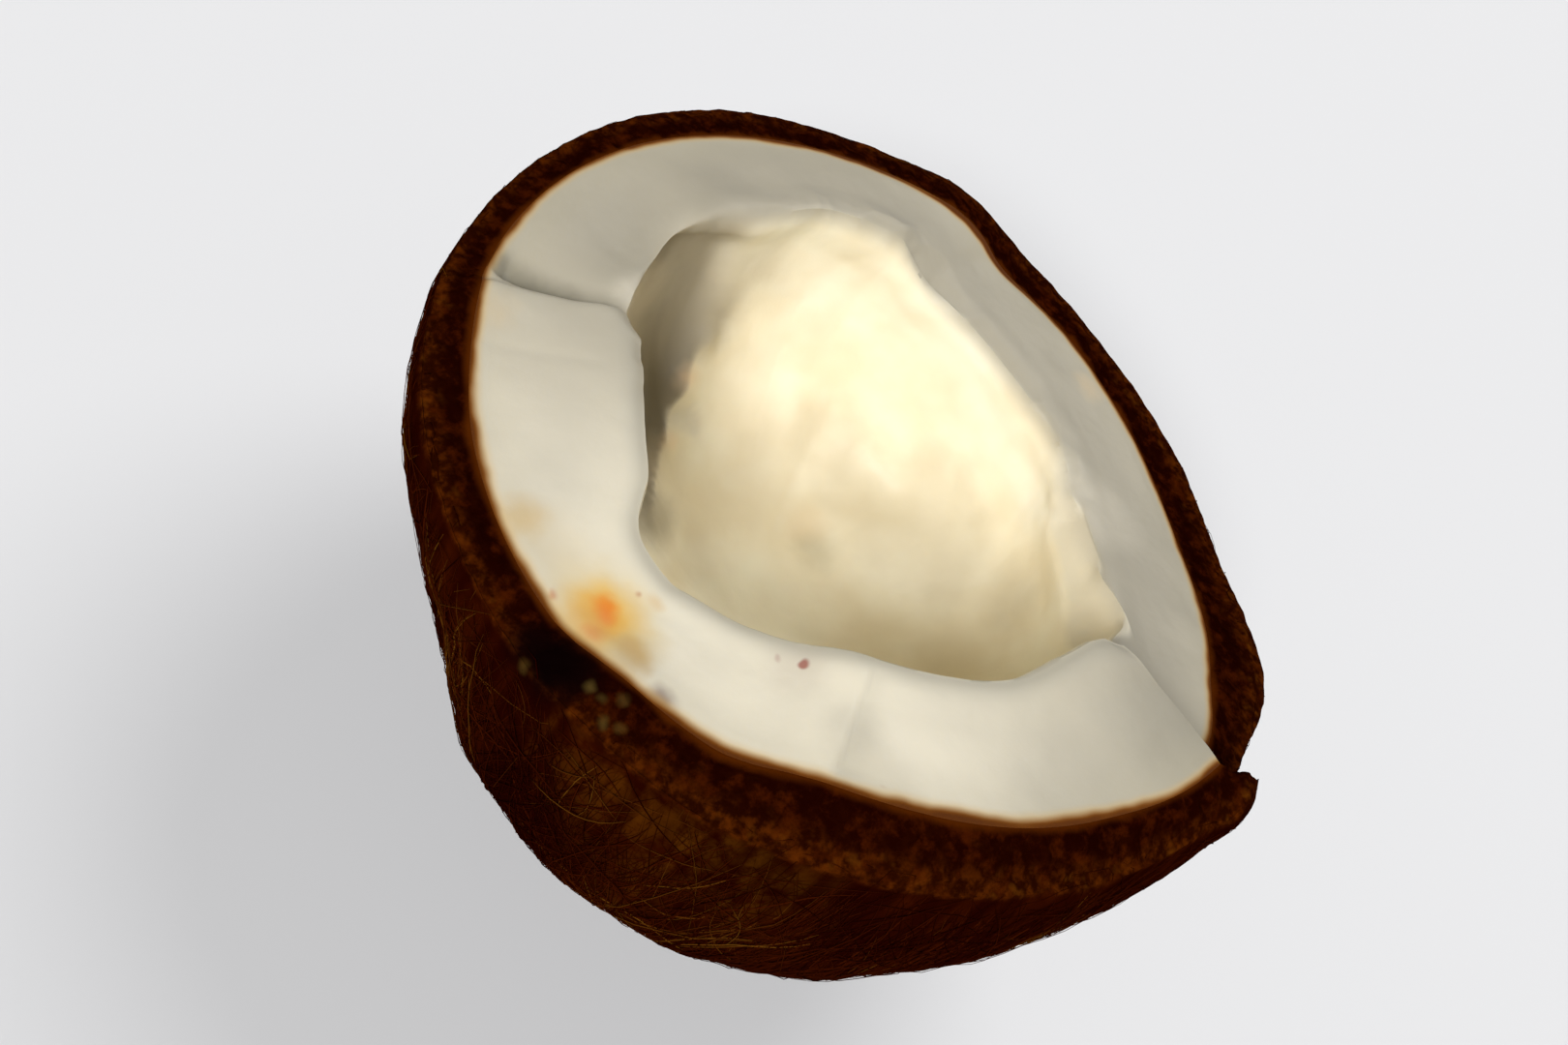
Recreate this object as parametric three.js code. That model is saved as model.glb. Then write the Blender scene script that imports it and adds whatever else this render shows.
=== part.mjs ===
// Half of a ripe coconut, cracked across its middle and left as it broke: the hard brown shell with
// its fibre, and the white kernel inside it round the hollow that held the water.
// Millimetres, +Z up. The half stands open side up on a small flat spot, whose middle is the origin,
// and the nut's long axis is the Z axis. Azimuths are in degrees, counter-clockwise from +X.
import * as THREE from 'three';

// Driving dimensions.
const FACE_LEVEL = 56; // mean height of the broken face above the resting spot
const CENTRE_LEVEL = 48; // height of the point that the nut's radii are measured from
const END_RADIUS = 48.6; // from that point to the nut's round end, before the flat spot is worn in
const SHELL_THICKNESS = 5; // hard shell with its fibre, away from the break
const KERNEL_THICKNESS = 13.5; // white flesh, away from the break
const GAP = 0.3; // between shell and kernel
const FLANK_LATITUDE = -16; // where the flank radii below are measured
const CAVITY_LATITUDE = -38; // from here down the hollow runs parallel to the shell
const LIP_ROUNDING = 1.6; // how far the lip of the hollow is rounded on each side
const FOOT_LATITUDE = -THREE.MathUtils.radToDeg(Math.asin(CENTRE_LEVEL / END_RADIUS)); // of the flat spot

// How finely the surfaces are divided.
const COLUMN_STEP = 4; // degrees between columns
const OUTER_ROWS = 13; // from the flat spot up to the shell's edge
const INNER_ROWS = 8; // from the seam down to the end, inside the shell and outside the kernel
const CAVITY_ROWS = 9; // from the lip down to the bottom of the hollow

// The crack left four blocks at different levels. Each station gives the height of the face, over
// its mean level, at the lip of the hollow, at the seam between kernel and shell, and at the edge.
const FACE_HEIGHTS = [
  // azimuth, lip, seam, edge
  [6, -0.6, -1, -2],
  [18, -1.2, -1.7, -2],
  [42, -2.4, -3.8, -4.5],
  [66, -1.7, -2.6, -3.2],
  [80, -0.6, -1.5, -2],
  [93, 1, -0.8, -0.5],
  [103, 3.2, 2.6, 2],
  [108, 4.4, 3.2, 2.4],
  [138, 4.9, 2.8, 2],
  [160, 4.5, 2.2, 1.2],
  [178, 3.2, 1, 0.2],
  [192, 1.8, -0.4, -0.8],
  [202, 1, -1.1, -1.5],
  [205, 1.1, 0.3, -1],
  [228, 0.7, -2.5, -3.3],
  [252, -0.8, -2.8, -3.9],
  [264, -0.4, -0.5, -2.6],
  [276, 2.2, 0.3, -1.4],
  [288, 6.2, 4.7, 0.2],
  [300, 7, 5.7, 1.2],
  [318, 7.4, 6, 2.5],
  [333, 8.8, 6.3, 3.1],
  [347.5, 9.4, 7, 6],
  [351, -0.4, -1, -2],
];
// Degrees by which a crack that crosses the face at this azimuth leans at the lip and at the edge.
const CRACK_LEANS = [
  // azimuth, at the lip, at the edge
  [10, 0, 0],
  [60, 0, 0],
  [97, 11, 0],
  [108, 9, 0],
  [150, 0, 0],
  [185, 0, 0],
  [203.5, -5.5, 0],
  [225, 0, 0],
  [325, 0, 0],
  [347.5, -1.5, 5],
  [351, -1.5, 5],
];
const LIP_RADII = [
  [7, 34.2], [18, 31], [30, 30], [40, 30], [62, 32.8], [78, 32.5], [95, 33.2], [107, 33.6],
  [118, 35.4], [133, 35.7], [152, 33.8], [170, 34.4], [184, 33.2], [197.5, 33.6], [203, 31],
  [215, 30], [234, 31], [248, 35.4], [255, 35.5], [264, 33.9], [277, 33.3], [317, 32.5],
  [334, 31.1], [341, 31], [347, 33.5],
];
const SEAM_RADII = [
  [0, 50.6], [12, 48.8], [40, 48.3], [80, 49.2], [108, 49.5], [150, 49.3], [198, 50], [222, 49.3],
  [250, 49.2], [264, 48.8], [324, 48.8], [342, 49.9],
];
const EDGE_RADII = [
  [6, 56.2], [15, 57.7], [36, 56], [54, 56.6], [70, 56.2], [90, 56], [100, 55.9], [106, 56.4], [118, 55.2],
  [144, 55], [168, 54.2], [186, 53.8], [216, 54.2], [234, 53.8], [266, 54.5], [280, 55.2], [300, 54.8],
  [318, 54.2], [335, 54.4], [352, 55.4],
];
// Radii of the shell's flank, from the centre.
const FLANK_RADII = [
  [10, 55.5], [60, 54.5], [106, 55], [150, 53.5], [190, 52], [217, 51], [236, 50.6], [252, 52.2],
  [263, 54.3], [275, 56], [297, 56.2], [314, 54.6], [331, 54.2], [343, 55.2],
];
// The three seams of the nut stand up as low ridges that run down to its end.
const RIDGE_AZIMUTHS = [106, 252, 350];
const RIDGE_HEIGHT = 1.4;
const RIDGE_WIDTH = 7; // degrees
// Low swells of the outside, of the broken face and of the hollow: [waves round, waves down, height].
const SHELL_SWELLS = [[5, 3, 0.25], [11, 4, 0.18], [17, 7, 0.12]];
const FACE_SWELLS = [[7, 1, 0.2], [13, 2, 0.15]];
const CAVITY_SWELLS = [[4, 2, 0.6], [7, 2, 0.3]];

const radians = THREE.MathUtils.degToRad;
const degrees = THREE.MathUtils.radToDeg;
const blend = THREE.MathUtils.lerp;
const smooth = THREE.MathUtils.smoothstep;

// A closed curve through stations [azimuth, value, ...], smooth and never beyond their values.
function around(stations, index = 1) {
  const station = (i) => {
    const turns = Math.floor(i / stations.length);
    const values = stations[i - turns * stations.length];
    return { azimuth: values[0] + 360 * turns, value: values[index] };
  };
  const slope = (i) => {
    const from = station(i);
    const to = station(i + 1);
    return (to.value - from.value) / (to.azimuth - from.azimuth);
  };
  const tangent = (i) => {
    const product = slope(i - 1) * slope(i);
    return product <= 0 ? 0 : 2 * product / (slope(i - 1) + slope(i));
  };
  return (azimuth) => {
    const turned = THREE.MathUtils.euclideanModulo(azimuth, 360);
    const i = stations.findLastIndex((values) => values[0] <= turned);
    const from = station(i);
    const to = station(i + 1);
    const span = to.azimuth - from.azimuth;
    const t = (turned - from.azimuth) / span;
    const rise = to.value - from.value;
    const start = tangent(i) * span;
    const end = tangent(i + 1) * span;
    return from.value + t * (start + t * (3 * rise - 2 * start - end + t * (start + end - 2 * rise)));
  };
}

const lipHeight = around(FACE_HEIGHTS, 1);
const seamHeight = around(FACE_HEIGHTS, 2);
const edgeHeight = around(FACE_HEIGHTS, 3);
const lipLean = around(CRACK_LEANS, 1);
const edgeLean = around(CRACK_LEANS, 2);
const lipRadius = around(LIP_RADII);
const seamRadius = around(SEAM_RADII);
const edgeRadius = around(EDGE_RADII);
const flankRadius = around(FLANK_RADII);

function swells(waves, azimuth, down) {
  const turn = radians(azimuth);
  let height = 0;
  for (const [round, along, size] of waves) {
    height += size * Math.sin(round * turn + along) * Math.cos(2 * Math.PI * along * down + round);
  }
  return height;
}

function ridge(azimuth) {
  let height = 0;
  for (const crest of RIDGE_AZIMUTHS) {
    const away = THREE.MathUtils.euclideanModulo(azimuth - crest + 180, 360) - 180;
    height += RIDGE_HEIGHT * Math.exp(-((away / RIDGE_WIDTH) ** 2));
  }
  return height;
}

// A place on the broken face, given by azimuth, distance from the axis and height over the mean
// level, with its latitude and its distance as the centre of the nut sees them.
function corner(azimuth, radius, height) {
  const z = FACE_LEVEL + height;
  const rise = z - CENTRE_LEVEL;
  const latitude = degrees(Math.atan2(rise, radius));
  return { azimuth, radius, z, latitude, reach: Math.hypot(radius, rise) };
}

// One radial cut through the half, at a column of the face: its three corners.
function cut(column) {
  const lipAzimuth = column + lipLean(column);
  const edgeAzimuth = column + edgeLean(column);
  return {
    lip: corner(lipAzimuth, lipRadius(lipAzimuth), lipHeight(column)),
    seam: corner(column, seamRadius(column), seamHeight(column)),
    edge: corner(edgeAzimuth, edgeRadius(edgeAzimuth), edgeHeight(column)),
  };
}

function polar(azimuth, radius, z) {
  const turn = radians(azimuth);
  return new THREE.Vector3(radius * Math.cos(turn), radius * Math.sin(turn), z);
}

function fromCentre(azimuth, latitude, reach) {
  const tilt = radians(latitude);
  return polar(azimuth, reach * Math.cos(tilt), CENTRE_LEVEL + reach * Math.sin(tilt));
}

// Distance from the centre to the shell's outside, in a cut whose corner lies at the given reach.
function outsideReach(azimuth, latitude, top) {
  const flank = flankRadius(azimuth);
  const toFlank = smooth(latitude, FOOT_LATITUDE, FLANK_LATITUDE);
  const toTop = smooth(latitude, FLANK_LATITUDE, top.latitude);
  const relief = ridge(azimuth) + swells(SHELL_SWELLS, azimuth, latitude / 90);
  return blend(blend(END_RADIUS, flank, toFlank), top.reach, toTop) + relief * toFlank * (1 - toTop);
}

// Distance from the centre to the kernel's outside, which meets the face at the seam.
function kernelReach(azimuth, latitude, faces) {
  const toTop = smooth(latitude, FLANK_LATITUDE, faces.seam.latitude);
  const below = outsideReach(azimuth, Math.min(latitude, FLANK_LATITUDE), faces.edge) - SHELL_THICKNESS;
  return blend(below, faces.seam.reach, toTop);
}

function cavityReach(azimuth, latitude, faces, wallTop) {
  const parallel = kernelReach(azimuth, latitude, faces) - KERNEL_THICKNESS;
  const toTop = smooth(latitude, CAVITY_LATITUDE, wallTop.latitude);
  const relief = swells(CAVITY_SWELLS, azimuth, latitude / 90) * smooth(latitude, -85, -40);
  return blend(parallel + relief, wallTop.reach, toTop);
}

function shellProfile(column) {
  const faces = cut(column);
  const { edge, seam } = faces;
  const points = [new THREE.Vector3(0, 0, 0)];
  for (let row = 0; row <= OUTER_ROWS; row++) {
    const latitude = blend(FOOT_LATITUDE, edge.latitude, row / OUTER_ROWS);
    const azimuth = blend(column, edge.azimuth, row / OUTER_ROWS);
    points.push(fromCentre(azimuth, latitude, outsideReach(azimuth, latitude, edge)));
  }
  const middle = polar(
    blend(edge.azimuth, seam.azimuth, 0.5),
    blend(edge.radius, seam.radius, 0.5),
    blend(edge.z, seam.z, 0.5) + swells(FACE_SWELLS, 3 * column, 0.2),
  );
  points.push(middle);
  for (let row = 0; row < INNER_ROWS; row++) {
    const latitude = blend(seam.latitude, -90, row / INNER_ROWS);
    points.push(fromCentre(column, latitude, kernelReach(column, latitude, faces) + GAP));
  }
  points.push(new THREE.Vector3(0, 0, CENTRE_LEVEL - END_RADIUS + SHELL_THICKNESS - GAP));
  return points;
}

function kernelProfile(column) {
  const faces = cut(column);
  const { lip, seam } = faces;
  const points = [new THREE.Vector3(0, 0, CENTRE_LEVEL - END_RADIUS + SHELL_THICKNESS)];
  for (let row = INNER_ROWS - 1; row >= 0; row--) {
    const latitude = blend(seam.latitude, -90, row / INNER_ROWS);
    points.push(fromCentre(column, latitude, kernelReach(column, latitude, faces)));
  }
  for (const inward of [0.3, 0.6]) {
    const azimuth = blend(seam.azimuth, lip.azimuth, inward);
    const z = blend(seam.z, lip.z, inward) + swells(FACE_SWELLS, azimuth, inward);
    points.push(polar(azimuth, blend(seam.radius, lip.radius, inward), z));
  }
  const slope = (lip.z - seam.z) / (seam.radius - lip.radius);
  const shoulder = lip.z - slope * LIP_ROUNDING;
  points.push(polar(lip.azimuth, lip.radius + LIP_ROUNDING, shoulder));
  points.push(polar(lip.azimuth, lip.radius + 0.3 * LIP_ROUNDING, lip.z - 0.3 * LIP_ROUNDING));
  const wallTop = corner(lip.azimuth, lip.radius, lip.z - LIP_ROUNDING - FACE_LEVEL);
  for (let row = 0; row < CAVITY_ROWS; row++) {
    const latitude = blend(wallTop.latitude, -90, row / CAVITY_ROWS);
    points.push(fromCentre(lip.azimuth, latitude, cavityReach(lip.azimuth, latitude, faces, wallTop)));
  }
  const bottom = CENTRE_LEVEL - END_RADIUS + SHELL_THICKNESS + KERNEL_THICKNESS;
  points.push(new THREE.Vector3(0, 0, bottom));
  return points;
}

// Columns at even steps, with one on each side of the two sharp cracks.
function columns() {
  const cracks = [202, 205, 347.5, 351];
  const even = [];
  for (let azimuth = 0; azimuth < 360; azimuth += COLUMN_STEP) {
    const clear = cracks.every((crack) => Math.abs(azimuth - crack) > 0.4 * COLUMN_STEP);
    if (clear) even.push(azimuth);
  }
  return [...even, ...cracks].sort((a, b) => a - b);
}

// A closed skin from pole to pole: every profile starts and ends at the same two points.
function loft(profile) {
  const profiles = columns().map(profile);
  const rows = profiles[0].length - 2;
  const count = profiles.length;
  const positions = [profiles[0][0]];
  for (let row = 1; row <= rows; row++) {
    for (const points of profiles) positions.push(points[row]);
  }
  positions.push(profiles[0][rows + 1]);
  const last = positions.length - 1;
  const index = [];
  for (let side = 0; side < count; side++) {
    const next = (side + 1) % count;
    index.push(0, 1 + next, 1 + side);
    for (let row = 1; row < rows; row++) {
      const here = 1 + (row - 1) * count;
      const [a, b, c, d] = [here + side, here + next, here + count + next, here + count + side];
      // The diagonal rises the same way round where a surface climbs and where it descends, so
      // that the surfaces on the two sides of the gap run alike.
      const rising = profiles[0][row + 1].z > profiles[0][row].z;
      index.push(...(rising ? [a, b, c, a, c, d] : [a, b, d, b, c, d]));
    }
    const top = 1 + (rows - 1) * count;
    index.push(top + side, top + next, last);
  }
  const geometry = new THREE.BufferGeometry().setFromPoints(positions);
  geometry.setIndex(index);
  geometry.computeVertexNormals();
  return geometry;
}

function piece(name, profile, color, roughness) {
  const material = new THREE.MeshStandardMaterial({ color, roughness, metalness: 0 });
  const mesh = new THREE.Mesh(loft(profile), material);
  mesh.name = name;
  return mesh;
}

const group = new THREE.Group();
group.add(piece('shell', shellProfile, 0x3c1a0c, 0.85));
group.add(piece('kernel', kernelProfile, 0xe6dfcc, 0.45));

export default group;
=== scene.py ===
"""The looks of half a coconut: its fibrous shell, its broken white kernel and the cream hollow.

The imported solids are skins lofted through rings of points. The scene reads those rings back from the
frame, draws finer skins through them, adds the relief of the broken faces, lays fibre on the shell
and paints everything with procedural materials. Everything is in metres, in the frame of the part.
"""

import itertools
import math

import bmesh
import bpy
import numpy as np
from mathutils import Matrix, Vector


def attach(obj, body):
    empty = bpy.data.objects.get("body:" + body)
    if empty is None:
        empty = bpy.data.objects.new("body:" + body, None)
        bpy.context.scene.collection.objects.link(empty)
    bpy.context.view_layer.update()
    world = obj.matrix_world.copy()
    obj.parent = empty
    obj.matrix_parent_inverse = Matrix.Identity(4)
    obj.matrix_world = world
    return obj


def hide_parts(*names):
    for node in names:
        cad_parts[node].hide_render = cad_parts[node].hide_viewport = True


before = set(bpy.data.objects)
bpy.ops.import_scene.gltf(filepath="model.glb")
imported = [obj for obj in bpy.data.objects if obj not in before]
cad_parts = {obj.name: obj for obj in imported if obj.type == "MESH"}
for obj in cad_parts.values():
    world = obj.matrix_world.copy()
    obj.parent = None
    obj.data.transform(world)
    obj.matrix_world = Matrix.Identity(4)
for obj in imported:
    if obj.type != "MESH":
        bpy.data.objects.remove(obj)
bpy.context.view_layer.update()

MM = 0.001
SEED = 20
FULL_TURN = 360.0

# Camera: where it stands, what it looks at and how far it is rolled, as the photograph was framed.
CAMERA_PLACE = (-2.5 * MM, -137.2 * MM, 170.2 * MM)
CAMERA_TARGET = (-3.9 * MM, -18.9 * MM, 56 * MM)
CAMERA_ROLL = 39.9
CAMERA_LENS = 35.0
CAMERA_SENSOR = 36.0
CAMERA_CLIP_START = 0.01

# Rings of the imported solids, counted from the outer pole: where their surfaces turn a corner.
SHELL_EDGE_RING = 14
SHELL_SEAM_RING = 16
KERNEL_SEAM_RING = 8
KERNEL_LIP_RING = 12
# Fine rows drawn on each stretch between those corners, and fine columns all round.
COLUMNS = 640
SHELL_ROWS = {"outside": 88, "break": 26, "inside": 10}
KERNEL_ROWS = {"outside": 16, "face": 44, "hollow": 70}
# How far the shell's inner edge is drawn into the flesh, so that no gap shows between the two.
SEAM_OVERLAP = 0.1 * MM
# Rows before and after the seam over which the shell's inner edge closes up to the flesh, and rows before
# it over which the shell's smoothing dies away.
SEAM_CLOSING = (7, 2)
SEAM_CALM = (12, 3)
# How many columns the shell's form is averaged over.
EDGE_SMOOTHING = 3
# Faces that meet at more than this many degrees are shaded with a crisp edge between them.
CORNER_ANGLE = 50.0
# The radius at which patterns that run round the shell are drawn, about that of the half.
PATTERN_RADIUS = 50 * MM

# Relief of the shell as lumps: height and size in mm (one size, or three: the last is along the nut or
# down the break), and seed. The flakes are bowls with crisp ridges: depth and size in mm, and seed. The
# streaks are colour, not relief.
SHELL_SWELL = [(0.45, 14, 3), (0.14, 4, 5)]
SHELL_GROOVES = [(0.16, (2.2, 2.2, 16), 7), (0.12, (1.3, 1.3, 7), 9)]
SHELL_EDGE = [(0.1, 3.4, 17)]
SHELL_STREAKS = [(1.0, (1.1, 1.1, 14), 43), (0.7, (0.8, 0.8, 9), 44)]
BREAK_SPLINTERS = [(0.25, (1.2, 1.2, 2.6), 13)]
BREAK_LUMPS = [(0.3, 4.5, 15)]
BREAK_FLAKES = [(0.5, 1.8, 61)]
BREAK_SINK = 0.2 * MM
# Relief of the kernel's face, hollow, lip and broken wall.
FACE_RELIEF = [(0.3, 11, 21), (0.03, 1.8, 23)]
HOLLOW_RELIEF = [(0.5, 12, 31), (0.06, 3.5, 35)]
HOLLOW_FLAKES = [(0.6, 13, 71), (0.3, 6, 73)]
LIP_FLAKES = [(1.5, 8, 81), (0.5, 4, 91)]
LIP_SINK = 0.8 * MM
WALL_RELIEF = [(0.2, (1.6, 1, 20), 95)]

# How chipped the lip of the hollow is, by azimuth.
LIP_CHIPPING = [(0, 0.4), (10, 0.2), (36, 0.2), (46, 1.0), (140, 1.0), (160, 0.3), (170, 0.1), (330, 0.1),
                (348, 0.3), (360, 0.4)]
# The ridge where the broken wall of the hollow starts: height in mm, azimuth. How deep that wall is cut,
# the azimuths over which it fades out again and the heights in mm over which it starts from the bottom.
WALL_RIDGE = [(21, 182), (23, 178), (25, 163), (26.6, 158), (28.4, 154), (31.5, 151), (37, 146), (44, 143),
              (52, 145), (60, 152)]
WALL_DEPTH = 2.0 * MM
WALL_FAR_END = (214, 226)
WALL_FOOT = (21, 26)
# Where the lip is worn round: azimuths between which this comes in and goes out, over how many rows it is
# averaged, and how far to each side.
WORN_LIP = ((140, 165, 182, 195), 5, 5 * MM)
# Soft dips in the kernel: place, radius and depth in mm.
DIPS = [
    ((-37.5, 1.0, 58.5), 14, 2.2), ((-44, -12, 56), 9, 0.7), ((0.6, 17.6, 21.6), 6, 0.8),
    ((-28.0, 18.4, 37.0), 3, -0.9), ((-26.0, 14.3, 31.5), 3, -0.8), ((-23.7, 9.5, 26.6), 3, -0.9),
    ((-12.0, 32.0, 30.0), 6, 0.6), ((-3.0, 31.5, 28.5), 7, 0.8), ((6.0, 30.5, 29.0), 7, 0.8),
    ((-24.0, 20.0, 33.0), 4, 0.6), ((14.0, 29.0, 31.0), 6, 0.5),
]
# Chips with a crisp rim in the lip of the hollow.
CHIPS = [((-9.8, 33.4, 57.2), 5, 1.2), ((-14.0, 33.0, 58.5), 4, 0.8)]
# Flat facets broken off the hollow's wall: a point on each, the way it faces and how far it reaches in mm.
FACETS = [
    ((31.6, 10.6, 52.2), (-0.57, -0.8, -0.1), 9),
    ((26.5, 17.1, 49.0), (-0.81, -0.58, 0.07), 10),
    ((-23.1, 11.9, 26.4), (0.44, 0.05, 0.94), 5),
]
# The shell's outer edge is worn round here: azimuth and half width in degrees, columns averaged over.
WORN_CORNER = (-9.5, 5.0, 6)
# That corner is drawn out into a blunt knob by pushes: place, radius and push in mm.
KNOB = [((53.4, -9.0, 62.0), 5.5, (-0.3, 1.8, 1.7)), ((53.6, -11.8, 59.8), 6.0, (1.2, 0.0, 0.2))]
# Creases across the face, in mm: two ends, how far the middle bows to the left, and at the two ends the
# half widths on the left and on the right of the line and the depths.
FACE_CREASES = [
    ((12.0, -31.0), (16.0, -47.5), 0, (0.5, 0.6), (2.2, 3.0), (0.35, 0.6)),
    ((-29.5, -18.5), (-41.0, -27.5), 0, (0.7, 0.7), (0.7, 0.7), (0.08, 0.16)),
    ((-32.5, -8.6), (-47.6, -17.1), -1.2, (1.4, 4.2), (0.5, 0.6), (0.6, 1.6)),
]

# Coats of fibre: name, strands, points of each, range of lengths, leans (usual, widest, share of wide
# ones), how far they stand off the shell (ends, middle) and range of radii.
FIBRE_COATS = [
    ("fibre_along", 3700, 9, (9 * MM, 30 * MM), (0.15, 1.2, 0.05), (0.06 * MM, 0.2 * MM),
     (0.05 * MM, 0.12 * MM)),
    ("fibre_across", 3400, 9, (6 * MM, 22 * MM), (0.35, 1.4, 0.5), (0.1 * MM, 0.3 * MM),
     (0.03 * MM, 0.08 * MM)),
    ("fibre_fine", 3700, 9, (8 * MM, 26 * MM), (0.25, 1.4, 0.25), (0.15 * MM, 0.4 * MM),
     (0.025 * MM, 0.055 * MM)),
]
# The first row of the shell with fibre, how many rows of the break it may hang over, and over how many
# rows the strands next to the edge end.
FIBRE_FIRST_ROW = 12
FIBRE_ROWS_ON_BREAK = 7
FIBRE_EDGE_SPREAD = 9
# How much a strand turns along its length, in radians: in one even bend, and from point to point.
FIBRE_BEND = 0.6
FIBRE_WANDER = 0.06
# How light the strands are, from 0 to 1: usually, how much that changes from patch to patch and from
# strand to strand, and the size of the patches.
FIBRE_TONE = (0.33, 0.35, 0.17)
FIBRE_PATCH = 14 * MM

# How far the brown skin of the kernel is smeared on over the face, by azimuth, in mm.
SKIN_REACH = [(0, 0), (80, 0), (95, 1.0), (104, 1.0), (114, 0.6), (128, 0.3), (145, 0), (285, 0),
              (305, 0.25), (325, 0.25), (340, 0), (360, 0)]

# Colours, linear, and how much the shades cover.
FLESH_WHITE = ((0.67, 0.612, 0.475), (0.74, 0.685, 0.55))
# Painted shade for the far side of the face, the broken wall of the hollow and the outer edge of the face.
FAR_SIDE_SHADE = (0.345, 0.311, 0.238)
WALL_SHADE = (0.36, 0.315, 0.23)
EDGE_SHADE = (0.42, 0.38, 0.28)
CHIP_WHITE = (0.76, 0.70, 0.55)
HOLLOW_CREAM = ((0.83, 0.73, 0.51), (0.95, 0.89, 0.70))
FAR_SHADE_COVER = 0.9
# Painted shade along the near lip and in the creases.
LIP_SHADE = (0.30, 0.285, 0.225)
LIP_COVER = 0.4
CREASE_SHADE = (0.17, 0.155, 0.11)
CREASE_COVER = 0.8
# The brown skin smeared on over the edge of the face: where each tint is full and where it ends, in mm
# from the seam, how much it covers, and the tint.
SKIN_TINTS = [
    (0.2, 2.6, 0.8, (0.55, 0.35, 0.11)),
    (0.2, 1.7, 1.0, (0.17, 0.05, 0.0005)),
    (-0.1, 0.7, 1.0, (0.09, 0.022, 0.0006)),
]
SEAM_RUST = (0.062, 0.0125, 0.0006)
SHELL_DARK = (0.009, 0.0005, 0.0001)
SHELL_WARM = (0.028, 0.0036, 0.0002)
BREAK_DARK = (0.008, 0.0006, 0.0001)
BREAK_WARM = (0.036, 0.0052, 0.0003)
BREAK_FLECK = (0.072, 0.0145, 0.0008)
BREAK_PALE = (0.095, 0.026, 0.0016)
FIBRE_DARK = (0.012, 0.0009, 0.0002)
FIBRE_BROWN = (0.034, 0.0048, 0.0004)
FIBRE_GOLD = (0.11, 0.042, 0.004)

# Roughness and specular level of each material, and the flesh's subsurface weight, scale and radii.
FLESH_GLOSS = (0.45, 0.18)
SHELL_GLOSS = (0.8, 0.0)
FIBRE_GLOSS = (0.7, 0.0)
FLOOR_GLOSS = (0.9, 0.2)
SKIN_ROUGHNESS = 1.0
FLESH_SUBSURFACE = (0.22, 1.8 * MM, (0.8, 0.7, 0.5))
# The fine grain that only the light shows: scale and detail, strength and height.
FLESH_GRAIN = ((900.0, 3.0), 0.08, 0.4 * MM)
SHELL_GRAIN = ((800.0, 4.0), 0.45, 0.5 * MM)
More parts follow.
